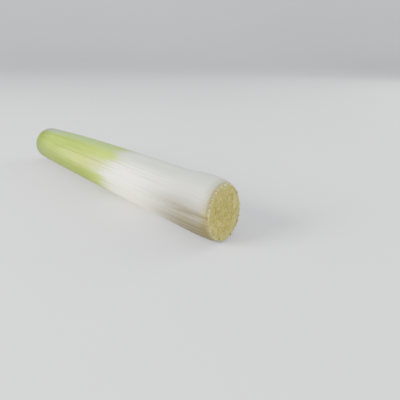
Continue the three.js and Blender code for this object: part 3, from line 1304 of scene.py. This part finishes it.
@dataclass
class InnerSheath:
    """A sheath inside the skin. Only its cut end and a short flank show."""

    number: int
    outer_share: float
    inner_share: float
    ribs: int = 36
    rib_depth: float = 0.07 * MM
    rib_seed: int = 40
    rib_lobes: tuple[int, int] = (3, 11)
    rib_wavelength: float = 90 * MM
    bundle_spacing: float = 1.35 * MM
    bundle_sway: float = 2.0
    top_wave: float = 0.35 * MM
    top_seed: int = 60
    top_lobes: tuple[int, int] = (1, 5)
    points_round: int = 360
    shaft_rings: int = 16
    top_rings: int = 10
    cut_rings: int = 5
    top_stretch: float = 12 * MM
    inner_rings: int = 8
    edge_round: float = 0.14 * MM
    outside_margin: float = 1.5

    def wall_distances(self, share: float, rings: int) -> Array:
        """Distances of one side's rings, from just above the root plate to the top cut.

        Args:
            share: The side's share of the radius.
            rings: Number of rings below the top stretch.

        Returns:
            The distances from the root cut.
        """
        foot = FORM.foot(share)
        top = FORM.top_reach((self.outer_share + self.inner_share) / 2)
        return np.concatenate([
            np.linspace(foot, top - self.top_stretch, rings, endpoint=False),
            np.linspace(top - self.top_stretch, top - self.edge_round, self.top_rings),
        ])

    def build(self) -> None:
        """Makes the sheath and dresses it."""
        radius = FORM.top_radius
        lip = self.edge_round / radius
        outside = self.wall_distances(self.outer_share, self.shaft_rings)
        inside = self.wall_distances(self.inner_share, self.inner_rings)[::-1]
        top = outside[-1] + self.edge_round
        distance = np.concatenate([outside, np.full(self.cut_rings, top), inside])
        share = np.concatenate([
            np.full(len(outside), self.outer_share),
            np.linspace(self.outer_share - lip, self.inner_share + lip, self.cut_rings),
            np.full(len(inside), self.inner_share),
        ])
        grid = Grid.of(distance, share, circle(self.points_round))
        ripple = Ripple(self.rib_seed + self.number, self.rib_lobes, self.rib_wavelength)
        wander = ripple.at(grid.angle, grid.distance)
        is_outside = grid.share > self.outer_share - lip * self.outside_margin
        grid.relief = np.where(is_outside, self.rib_depth * trough(self.ribs * grid.angle + wander), 0.0)
        grid.wall = (self.outer_share - grid.share) / (self.outer_share - self.inner_share)
        bundles = round(2.0 * math.pi * radius * self.outer_share / self.bundle_spacing)
        grid.vein = 1.0 - trough(bundles * grid.angle + self.bundle_sway * wander)
        grid.cut = (grid.distance >= top - self.edge_round / 2).astype(float)
        wave = self.top_wave * Ripple(self.top_seed + self.number, self.top_lobes).at_round(grid.angle)
        grid.distance = grid.distance + wave * smooth_step(top - self.top_stretch, top, grid.distance)
        piece = MeshMaker.from_grid(f"leaf_sheath_{self.number}", grid)
        finish = LayerFinish(f"inner_leaf_finish_{self.number}", 1.0 - self.outer_share)
        dress(piece, finish.build(), f"sheath_{self.number}")


@dataclass
class HeartLeaf:
    """The youngest leaf, rolled up tight, with the edge of its roll showing as a groove."""

    groove_angle: float = math.radians(70)
    groove_width: float = math.radians(16)
    groove_depth: float = 0.5 * MM
    cut_reach: float = 0.5 * MM
    tip_shares: Span = (0.97, 0.12)
    tip_rings: int = 8
    points_round: int = 160
    rings: int = 26

    def build(self) -> None:
        """Makes the leaf and dresses it."""
        full = FORM.heart_share
        foot = FORM.foot(0.0)
        top = FORM.top_reach(full)
        tip_shares = full * np.linspace(*self.tip_shares, self.tip_rings)
        tip = top + FORM.heart_tip * (1.0 - (tip_shares / full) ** 2)
        distance = np.concatenate([np.linspace(foot, top, self.rings), tip])
        share = np.concatenate([np.full(self.rings, full), tip_shares])
        grid = Grid.of(distance, share, circle(self.points_round))
        groove = smooth_step(self.groove_width, 0.0, turn_between(grid.angle, self.groove_angle))
        grid.relief = self.groove_depth * groove * grid.share / full
        grid.cut = smooth_step(top - self.cut_reach, top, grid.distance)
        grid.wall = 1.0 - grid.share / full
        piece = MeshMaker.from_grid("rolled_heart", grid, (foot, top + FORM.heart_tip))
        dress(piece, LayerFinish("heart_finish", 1.0).build(), "heart_leaf")


@dataclass(frozen=True)
class Stub:
    """One cut root: where it stands on the face, and how thick, tall and tilted it is."""

    angle: float
    reach: float
    radius: float
    stands: float
    lean: float


@dataclass
class RootPlate:
    """The cut face of the stem with the stubs of its roots, and the dome behind it.

    The face flares out over the end of the skin in a ragged fringe, as a knife leaves it.
    """

    # The stubs, and the seeded spread of their places and sizes
    rim_stubs: int = 54
    rim_radius: float = 0.62 * MM
    rim_inset: float = 0.35 * MM
    rim_stands: float = 0.8 * MM
    rim_heights: Span = (0.1, 1.3)
    rim_slack: float = 0.9
    rim_lean: float = 0.5
    face_stubs: int = 180
    face_radius: float = 0.7 * MM
    face_stands: float = 0.2 * MM
    spread: Span = (0.06, 0.92)
    jitter: float = 0.4
    scatter: float = 0.5 * MM
    seed: int = 11

    # A stub's side, hollow top, core and the ring of painted shade round its foot, as shares of its radius
    stub_side: Span = (1.15, 0.8)
    stub_hollow: Span = (0.75, 0.3)
    stub_core: Span = (0.35, 0.15)
    stub_foot_shade: Span = (1.4, 1.1)
    core_mark: float = 0.8
    hollow_depth: float = 0.07 * MM

    # The ragged rim, as shares of the skin's radius
    fringe_share: float = 0.974
    broad_waves: Ripple = Ripple(52, (2, 8))
    broad_share: float = 0.01
    fine_waves: Ripple = Ripple(51, (25, 80))
    fine_share: float = 0.007
    tooth_share: float = 0.055
    tooth_width: Span = (1.4, 0.2)
    widest_share: float = 1.03

    # The face, which is a little crowned, with its grain
    crown: float = 0.6 * MM
    fringe_lift: float = 0.16 * MM
    under_lifts: Span = (0.4, 0.2)
    side_steps: Span = (0.4 * MM, 2 * MM)
    coarse_grain: Ripple = Ripple(31, (6, 40), 20 * MM)
    fine_grain: Ripple = Ripple(33, (14, 60), 4 * MM)
    grain_depth: float = 0.08 * MM
    grain_from: float = 3.0

    # The mesh
    points_round: int = 480
    face_rings: int = 105
    first_ring: float = 0.02
    back_rings: int = 14
    back_shares: Span = (0.95, 0.05)

    def stubs(self) -> list[Stub]:
        """Places the stubs: one ring along the fringe, and a golden-angle scatter over the face.

        Returns:
            The stubs, those along the fringe first.
        """
        draw = np.random.default_rng(self.seed)

        def vary(size: float) -> float:
            """A size with its seeded variation."""
            return size * (1.0 + self.jitter * draw.uniform(-1.0, 1.0))

        edge = float(FORM.radius(np.array(0.0))) * self.fringe_share
        placed = []
        for i in range(self.rim_stubs):
            angle = 2.0 * math.pi * (i + draw.uniform(0.0, self.rim_slack)) / self.rim_stubs
            reach = edge - vary(self.rim_inset)
            stands = self.rim_stands * draw.uniform(*self.rim_heights)
            placed.append(Stub(angle, reach, vary(self.rim_radius), stands, self.rim_lean))
        golden = math.pi * (3.0 - math.sqrt(5.0))
        inner, outer = self.spread
        for i in range(self.face_stubs):
            part = inner**2 + (outer**2 - inner**2) * (i + 0.5) / self.face_stubs
            reach = edge * math.sqrt(part) + self.scatter * draw.uniform(-1.0, 1.0)
            turn = i * golden + self.scatter / max(reach, MM) * draw.uniform(-1.0, 1.0)
            placed.append(Stub(turn, reach, vary(self.face_radius), vary(self.face_stands), 0.0))
        return placed

    def fringe(self, angle: Array, stubs: list[Stub]) -> Array:
        """The ragged rim of the face.

        Args:
            angle: Angles round the axis.
            stubs: The stubs, of which those along the rim push it out.

        Returns:
            Its share of the radius at each angle.
        """
        share = self.fringe_share + self.broad_share * self.broad_waves.at_round(angle)
        share = share + self.fine_share * self.fine_waves.at_round(angle)
        for stub in stubs[: self.rim_stubs]:
            outer, inner = (part * stub.radius / FORM.shank_radius for part in self.tooth_width)
            tooth = self.tooth_share * stub.stands / self.rim_stands
            share = share + tooth * smooth_step(outer, inner, turn_between(angle, stub.angle))
        return np.minimum(share, self.widest_share)

    def rings(self) -> tuple[Array, Array]:
        """The rings of the face, its underside, the plate's side and the dome.

        Returns:
            Their distances from the root cut, and their shares of the radius.
        """
        parts = np.linspace(self.first_ring, 1.0, self.face_rings)
        face = -self.fringe_lift - (self.crown - self.fringe_lift) * (1.0 - parts**2)
        under = -self.fringe_lift * np.array(self.under_lifts)
        side = np.array([*self.side_steps, FORM.plate_side])
        back = np.linspace(*self.back_shares, self.back_rings) * FORM.plate_share
        distance = np.concatenate([face, under, side, FORM.dome(back)])
        share = np.concatenate([parts, np.ones(len(under)), np.full(len(side), FORM.plate_share), back])
        return distance, share

    def stud(self, grid: Grid, stubs: list[Stub]) -> tuple[Array, Array]:
        """Raises the stubs and the grain on the face, and marks the stubs for the finish.

        Args:
            grid: The plate's rings, whose marks are written.
            stubs: The stubs.

        Returns:
            How far each point rises, and how far it leans outwards.
        """
        radius = FORM.radius(np.zeros_like(grid.distance)) * grid.share
        across = radius * np.cos(grid.angle)
        up = radius * np.sin(grid.angle)
        grain = self.coarse_grain.at(grid.angle, radius) + self.fine_grain.at(grid.angle, radius)
        height = self.grain_depth * grain * np.clip(grid.share * self.grain_from, 0.0, 1.0)
        outward = np.zeros_like(height)
        for stub in stubs:
            aside = across - stub.reach * math.cos(stub.angle)
            above = up - stub.reach * math.sin(stub.angle)
            apart = np.hypot(aside, above) / stub.radius
            risen = smooth_step(*self.stub_side, apart)
            core = smooth_step(*self.stub_core, apart)
            sunk = (smooth_step(*self.stub_hollow, apart) - core) * self.hollow_depth
            height = np.maximum(height, risen * stub.stands - sunk)
            outward = np.maximum(outward, risen * stub.stands * math.tan(stub.lean))
            # The ring round the stub's foot carries painted shade
            foot = smooth_step(*self.stub_foot_shade, apart) * (1.0 - risen)
            grid.wall = np.maximum(grid.wall, risen)
            grid.crease = np.maximum(grid.crease * (1.0 - risen), np.maximum(foot, core * self.core_mark))
        return height, outward

    def build(self) -> None:
        """Makes the plate and dresses it."""
        stubs = self.stubs()
        distance, share = self.rings()
        angle = circle(self.points_round)
        grid = Grid.of(distance, share, angle)
        grid.share[: self.face_rings + 1] *= self.fringe(angle, stubs)
        grid.share[self.face_rings + 1] = FORM.plate_share
        on_face = np.zeros_like(grid.distance)
        on_face[: self.face_rings] = 1.0
        height, outward = self.stud(grid, stubs)
        grid.distance = grid.distance - height * on_face
        grid.relief = -outward * on_face
        grid.wall = grid.wall * on_face
        grid.crease = grid.crease * on_face
        piece = MeshMaker.from_grid("root_plate_cut", grid, (-self.crown, float(FORM.dome(np.array(0.0)))))
        dress(piece, RootFinish().build(), "root_plate")


@dataclass(frozen=True)
class Lamp:
    """A soft square light that points at the leek."""

    name: str
    place: tuple[float, float, float]
    size: float
    power: float
    tint: Colour

    def build(self) -> None:
        """Hangs the light, out of the camera's sight."""
        lamp = bpy.data.lights.new(self.name, "AREA")
        lamp.size = self.size
        lamp.energy = self.power
        lamp.color = self.tint
        holder = bpy.data.objects.new(self.name, lamp)
        place = Vector(self.place)
        holder.location = place
        holder.rotation_euler = (-place).to_track_quat("-Z", "Y").to_euler()
        holder.visible_camera = False
        bpy.context.scene.collection.objects.link(holder)


@dataclass
class Studio:
    """The floor, the soft lights and the camera."""

    # The floor's section, as reaches and heights: flat, then curved up into a backdrop
    floor_section: tuple[Span, ...] = (
        (0.4, 0.0), (1.0, 0.0), (1.6, 0.0),
        (2.0, 0.02), (2.2, 0.08), (2.4, 0.2),
        (2.55, 0.42), (2.6, 0.8), (2.6, 1.6),
    )
    floor_points: int = 96
    lamps: tuple[Lamp, ...] = (
        Lamp("key_light", (-0.45, -1.25, 0.62), 0.7, 58.0, (1.0, 0.99, 0.97)),
        Lamp("fill_light", (1.3, -0.35, 0.7), 0.9, 10.0, (1.0, 1.0, 1.0)),
        Lamp("back_light", (0.5, 1.25, 0.5), 1.1, 24.0, (1.0, 0.995, 0.98)),
        Lamp("top_light", (0.0, 0.5, 1.5), 1.2, 5.0, (0.97, 0.985, 1.0)),
    )
    sky_tint: Colour = (0.95, 0.97, 1.0)
    sky_strength: float = 0.65

    # The camera, fitted to the photograph
    focal_pixels: float = 380.0
    picture_width: float = 400.0
    sensor_mm: float = 36.0
    nearest: float = 10 * MM
    camera_place: tuple[float, float, float] = (267.73 * MM, -157.2 * MM, 113.57 * MM)
    yaw: float = math.radians(46.295)
    pitch: float = math.radians(22.174)
    roll: float = math.radians(-0.962)

    def floor(self) -> None:
        """Makes a round floor whose far edge curves up into a plain backdrop."""
        count = self.floor_points
        angle = circle(count)
        rings = [
            np.stack([reach * np.cos(angle), reach * np.sin(angle), np.full(count, height)], axis=1)
            for reach, height in self.floor_section
        ]
        points = np.vstack([*rings, [[0.0, 0.0, 0.0]]])
        faces = [tuple(quad) for quad in MeshMaker.band_faces(len(rings), count, False).tolist()]
        faces += MeshMaker.fan_faces(len(points) - 1, 0, count, True)
        floor = MeshMaker.make("floor", points, faces, {})
        floor.data.materials.append(FloorFinish().build())

    def sky(self) -> None:
        """Makes the pale, even light from all round."""
        world = bpy.data.worlds.new("studio_sky")
        world.use_nodes = True
        sky = world.node_tree.nodes["Background"]
        sky.inputs["Color"].default_value = (*self.sky_tint, 1.0)
        sky.inputs["Strength"].default_value = self.sky_strength
        bpy.context.scene.world = world

    def camera(self) -> None:
        """Sets the camera at the photograph's place and angle."""
        forward = Vector((
            -math.sin(self.yaw) * math.cos(self.pitch),
            math.cos(self.yaw) * math.cos(self.pitch),
            -math.sin(self.pitch),
        ))
        level = Vector((math.cos(self.yaw), math.sin(self.yaw), 0.0))
        down = forward.cross(level)
        right = math.cos(self.roll) * level + math.sin(self.roll) * down
        below = math.cos(self.roll) * down - math.sin(self.roll) * level
        lens = bpy.data.cameras.new("camera")
        lens.sensor_width = self.sensor_mm
        lens.lens = self.focal_pixels / self.picture_width * self.sensor_mm
        lens.clip_start = self.nearest
        camera = bpy.data.objects.new("camera", lens)
        place = Vector(self.camera_place) - Vector((*FORM.middle, 0.0))
        turn = Matrix((right, -below, -forward)).transposed().to_4x4()
        camera.matrix_world = Matrix.Translation(place) @ turn
        bpy.context.scene.collection.objects.link(camera)
        bpy.context.scene.camera = camera

    def build(self) -> None:
        """Makes the floor, the lights, the sky and the camera."""
        self.floor()
        for lamp in self.lamps:
            lamp.build()
        self.sky()
        self.camera()


def main() -> None:
    """Builds the studio, then the leek from the skin inwards."""
    logging.basicConfig(level=logging.INFO, format="%(name)s: %(message)s")
    Studio().build()
    SkinSheath().build()
    for number, (outer, inner) in enumerate(FORM.layers()[1:], start=2):
        InnerSheath(number, outer, inner).build()
    HeartLeaf().build()
    RootPlate().build()


if __name__ == "__main__":
    main()
